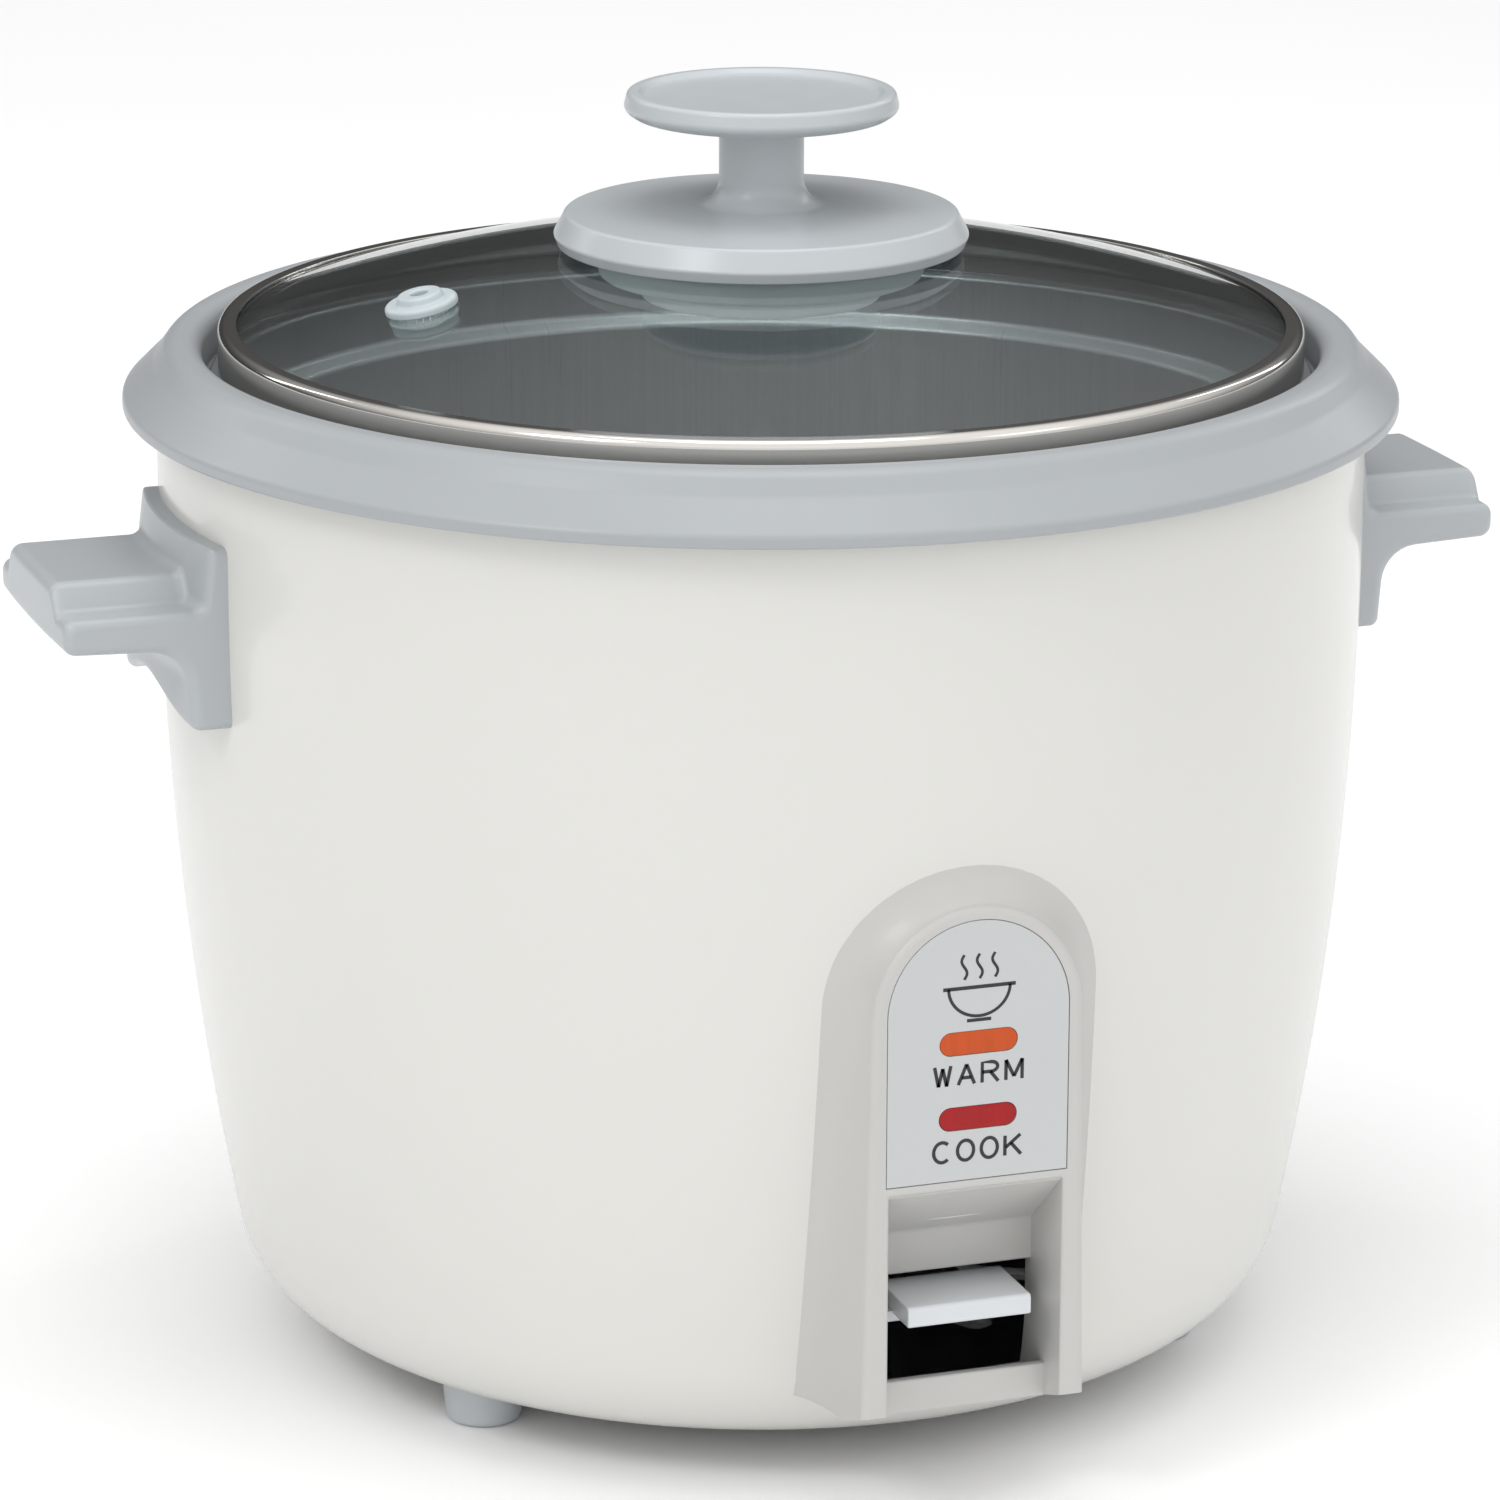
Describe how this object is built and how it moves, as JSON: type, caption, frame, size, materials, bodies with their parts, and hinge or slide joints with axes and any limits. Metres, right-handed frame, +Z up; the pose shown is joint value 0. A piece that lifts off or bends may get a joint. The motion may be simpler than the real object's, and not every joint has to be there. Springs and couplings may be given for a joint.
{
  "type": "rice cooker",
  "caption": "One-switch electric rice cooker with a lift-out pan, smoked glass lid with mushroom knob, two side handles and a push-down cook lever.",
  "frame": {"origin": "centre of the pot on the plane that the feet stand on", "axes": "+Z up along the pot axis, switch panel faces -Y, handles along X"},
  "size_m": [0.274, 0.232, 0.233],
  "materials": {
    "body_enamel": "gloss",
    "ring_plastic": "satin",
    "handle_plastic": "satin",
    "knob_plastic": "gloss",
    "foot_plastic": "satin",
    "liner_steel": "satin",
    "base_steel": "satin",
    "fastener_steel": "satin",
    "housing_plastic": "satin",
    "label_film": "satin",
    "lens_amber": "gloss",
    "lens_red": "gloss",
    "lamp_glass": "clear",
    "holder_plastic": "matte",
    "plate_aluminium": "cast",
    "element_steel": "dull",
    "frame_steel": "satin",
    "lever_steel": "satin",
    "key_plastic": "gloss",
    "switch_plastic": "matte",
    "blade_brass": "satin",
    "plunger_plastic": "gloss",
    "sensor_aluminium": "satin",
    "ferrite": "matte",
    "magnet_alloy": "satin",
    "carrier_steel": "satin",
    "spring_steel": "satin",
    "fuse_case": "satin",
    "clip_steel": "satin",
    "heater_mica": "matte",
    "terminal_plastic": "matte",
    "inlet_plastic": "satin",
    "pin_nickel": "bright",
    "pan_aluminium": "brushed",
    "dome_glass": "clear",
    "vent_silicone": "satin",
    "band_stainless": "polished",
    "retainer_plastic": "satin",
    "washer_silicone": "satin"
  },
  "bodies": {
    "cooker": {"outer_shell": "body_enamel", "rim_ring": "ring_plastic", "handle_left": "handle_plastic", "handle_right": "handle_plastic", "foot_1": "foot_plastic", "foot_2": "foot_plastic", "foot_3": "foot_plastic", "inner_liner": "liner_steel", "base_plate": "base_steel", "foot_screws": "fastener_steel", "base_screws": "fastener_steel", "handle_screws": "fastener_steel", "housing_screws": "fastener_steel", "plate_screws": "fastener_steel", "frame_screws": "fastener_steel", "inlet_screws": "fastener_steel", "control_housing": "housing_plastic", "label_plate": "label_film", "lamp_window_warm": "lens_amber", "lamp_window_cook": "lens_red", "neon_lamp_warm": "lamp_glass", "neon_lamp_cook": "lamp_glass", "lamp_holder": "holder_plastic", "heating_plate": "plate_aluminium", "heating_element": "element_steel", "switch_frame": "frame_steel", "lever_pin": "frame_steel", "microswitch_body": "switch_plastic", "microswitch_blades": "blade_brass", "sensor_spring": "spring_steel", "magnet_spring": "spring_steel", "thermal_fuse": "fuse_case", "fuse_clip": "clip_steel", "keep_warm_heater": "heater_mica", "terminal_block": "terminal_plastic", "power_inlet": "inlet_plastic", "inlet_pins": "pin_nickel"},
    "pan": {"inner_pan": "pan_aluminium"},
    "lid": {"glass_dome": "dome_glass", "vent_grommet": "vent_silicone", "lid_band": "band_stainless", "knob": "knob_plastic", "knob_retainer": "retainer_plastic", "knob_washer": "washer_silicone", "knob_screw": "fastener_steel"},
    "lever": {"switch_lever": "lever_steel", "switch_key": "key_plastic"},
    "magnet": {"magnet_carrier": "carrier_steel", "magnet": "magnet_alloy"},
    "sensor": {"sensor_can": "sensor_aluminium", "ferrite_disc": "ferrite"},
    "plunger": {"microswitch_plunger": "plunger_plastic"}
  },
  "joints": [
    {"name": "pan_lift", "type": "slide", "parent": "cooker", "child": "pan", "axis": [0, 0, 1], "range_m": [0, 0.14]},
    {"name": "lid_lift", "type": "slide", "parent": "pan", "child": "lid", "axis": [0, 0, 1], "range_m": [0, 0.15]},
    {"name": "cook_lever", "type": "hinge", "parent": "cooker", "child": "lever", "pos_m": [0, -0.042, 0.034], "axis": [1, 0, 0], "range_deg": [0, 6], "stiffness_Nm_per_rad": 0.4, "springref_deg": -14.32},
    {"name": "magnet_lift", "type": "slide", "parent": "cooker", "child": "magnet", "axis": [0, 0, 1], "range_m": [0, 0.0045], "deforming": ["magnet_spring"]},
    {"name": "plunger_press", "type": "slide", "parent": "cooker", "child": "plunger", "axis": [0, 0, 1], "range_m": [0, 0.0018]},
    {"name": "sensor_press", "type": "slide", "parent": "cooker", "child": "sensor", "axis": [0, 0, 1], "range_m": [-0.002, 0], "stiffness_N_per_m": 300, "springref_m": 0.004, "deforming": ["sensor_spring"]}
  ],
  "couplings": [
    {"joint": "magnet_lift", "follows": "cook_lever", "m_per_rad": 0.042},
    {"joint": "plunger_press", "follows": "cook_lever", "m_per_rad": 0.017}
  ]
}
